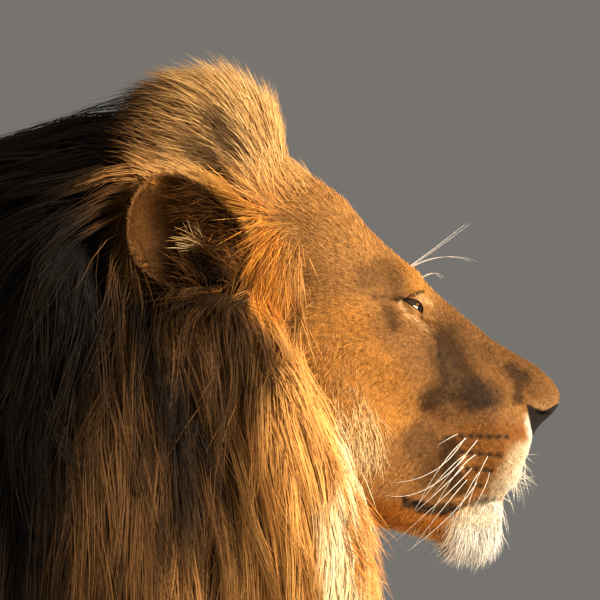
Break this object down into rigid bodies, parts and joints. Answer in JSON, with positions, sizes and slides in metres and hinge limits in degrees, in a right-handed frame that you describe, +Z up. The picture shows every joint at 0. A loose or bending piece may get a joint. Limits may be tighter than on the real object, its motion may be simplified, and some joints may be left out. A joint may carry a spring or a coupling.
{
  "type": "standing male lion model",
  "caption": "Life-size standing male lion as a still museum model, with a full mane and its mouth closed, standing square on flats under its paws.",
  "frame": {"origin": "on the floor, under the middle of the model's bounding box", "axes": "+X the way the lion faces, +Y its left side, +Z up"},
  "size_m": [2.024, 0.4914, 1.3767],
  "materials": {
    "tawny_coat": "short flat tawny fur",
    "golden_mane": "long mane hair, golden in front and dark brown behind",
    "face_coat": "short golden-tawny face fur",
    "pale_chin": "whitish bristly fur",
    "dark_tuft": "dark brown hair tuft",
    "nose_leather": "dark damp nose leather",
    "eye_amber": "amber eye, wet and glossy"
  },
  "bodies": {
    "root": {"ear_left": "face_coat", "ear_right": "face_coat", "eye_left": "eye_amber", "eye_right": "eye_amber", "forearm_left": "tawny_coat", "forearm_right": "tawny_coat", "head": "face_coat", "lower_jaw": "pale_chin", "metatarsus_left": "tawny_coat", "metatarsus_right": "tawny_coat", "neck_mane": "golden_mane", "nose": "nose_leather", "paw_fore_left": "tawny_coat", "paw_fore_right": "tawny_coat", "paw_hind_left": "tawny_coat", "paw_hind_right": "tawny_coat", "shank_left": "tawny_coat", "shank_right": "tawny_coat", "tail_lower": "tawny_coat", "tail_tuft": "dark_tuft", "tail_upper": "tawny_coat", "thigh_left": "tawny_coat", "thigh_right": "tawny_coat", "trunk": "tawny_coat", "upper_arm_left": "tawny_coat", "upper_arm_right": "tawny_coat"}
  },
  "joints": []
}
